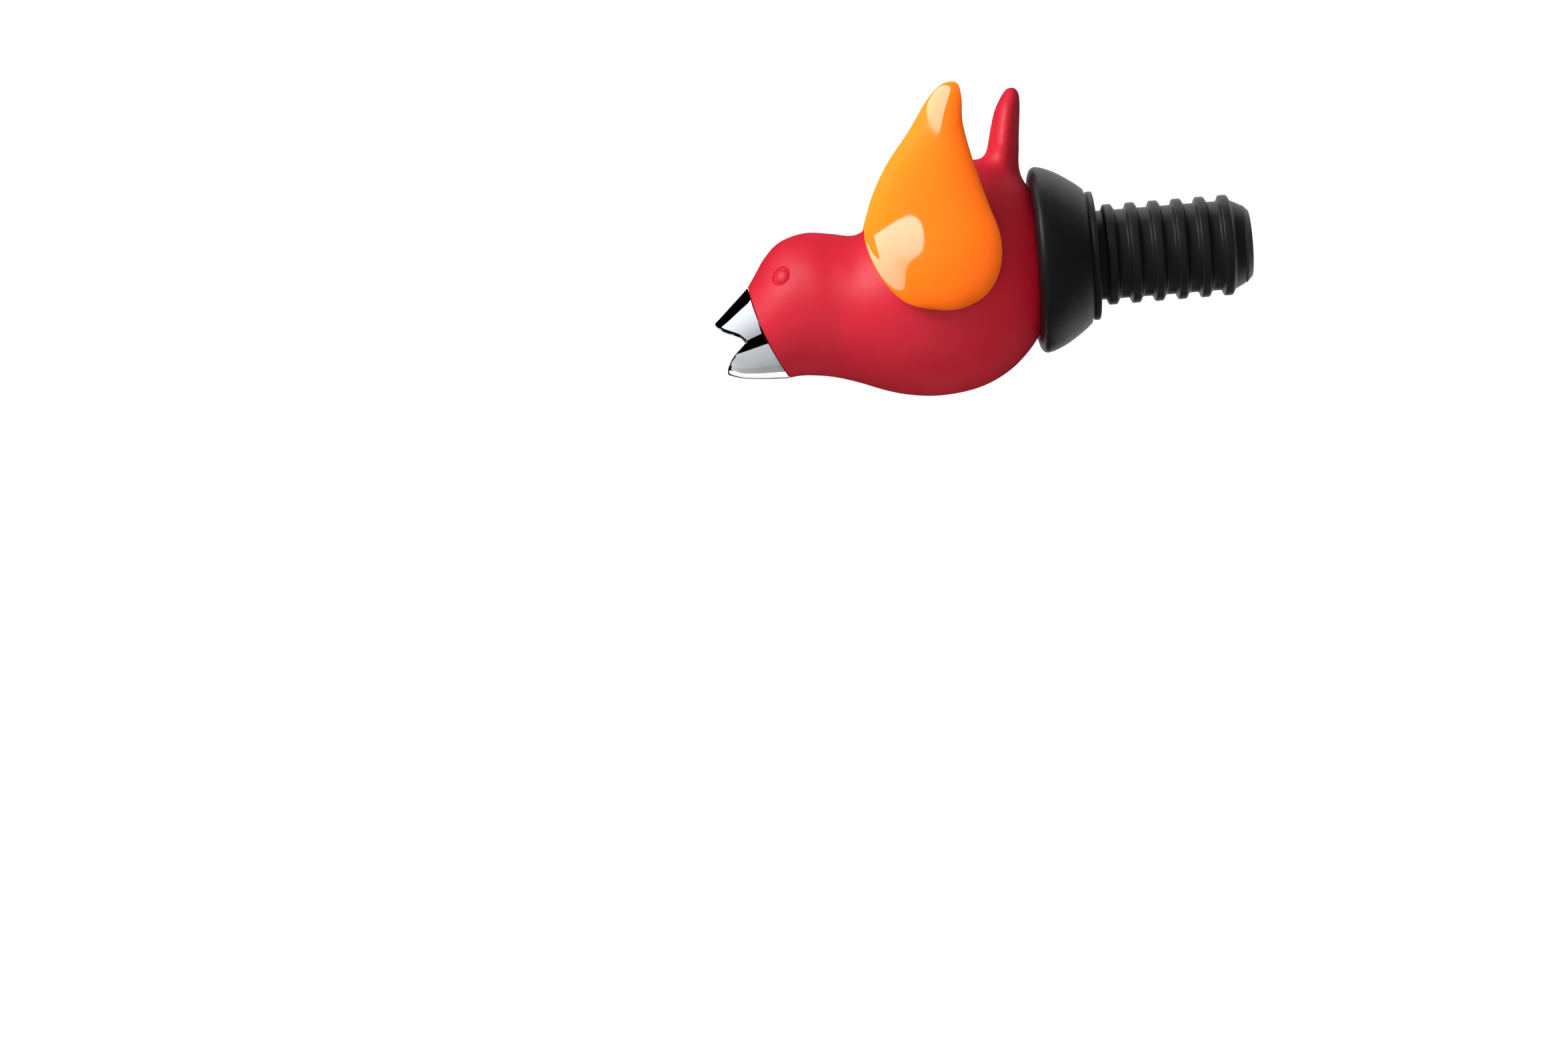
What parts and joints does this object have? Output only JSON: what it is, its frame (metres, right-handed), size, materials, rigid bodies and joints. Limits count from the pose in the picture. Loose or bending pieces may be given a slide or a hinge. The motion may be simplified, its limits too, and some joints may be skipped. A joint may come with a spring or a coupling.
{
  "type": "bird-shaped wine pourer",
  "caption": "Bird-shaped wine pourer: ribbed bottle plug, drip collar, hollow body with plated beak spout, and two wings that tip on a weighted axle.",
  "frame": {"origin": "centre of the drip collar's face that seats on the bottle mouth, on the plug's axis", "axes": "+X along the plug into the bottle, +Z towards the bird's back, +Y towards the bird's right side; the object lies as it does when it pours, with the bottle level"},
  "size_m": [0.103, 0.0494, 0.0577],
  "materials": {
    "body_red": "soft-touch matte",
    "wing_orange": "high gloss",
    "beak_chrome": "polished plating",
    "collar_rubber": "matte rubber",
    "core_plastic": "fine moulded grain",
    "tube_steel": "drawn tube",
    "bearing_plastic": "natural acetal",
    "weight_steel": "turned and tumbled"
  },
  "bodies": {
    "body": {"body_left_shell": "body_red", "body_right_shell": "body_red", "beak_spout": "beak_chrome", "beak_seal": "collar_rubber", "pour_tube": "tube_steel", "tube_seal": "collar_rubber", "air_tube": "tube_steel", "whistle_body": "bearing_plastic", "whistle_cap": "bearing_plastic", "stopper_core": "core_plastic", "drip_collar": "collar_rubber", "stopper_plug": "collar_rubber", "axle_bush_left": "bearing_plastic", "axle_bush_right": "bearing_plastic"},
    "wings": {"wing_axle": "tube_steel", "wing_counterweight": "weight_steel", "weight_pin": "weight_steel", "axle_washer_left": "bearing_plastic", "axle_washer_right": "bearing_plastic", "wing_left_shell": "wing_orange", "wing_left_back": "wing_orange", "wing_right_shell": "wing_orange", "wing_right_back": "wing_orange"}
  },
  "joints": [
    {"name": "wing_flap", "type": "hinge", "parent": "body", "child": "wings", "pos_m": [-0.0295, 0, 0.009], "axis": [0, 1, 0], "range_deg": [0, 60]}
  ]
}
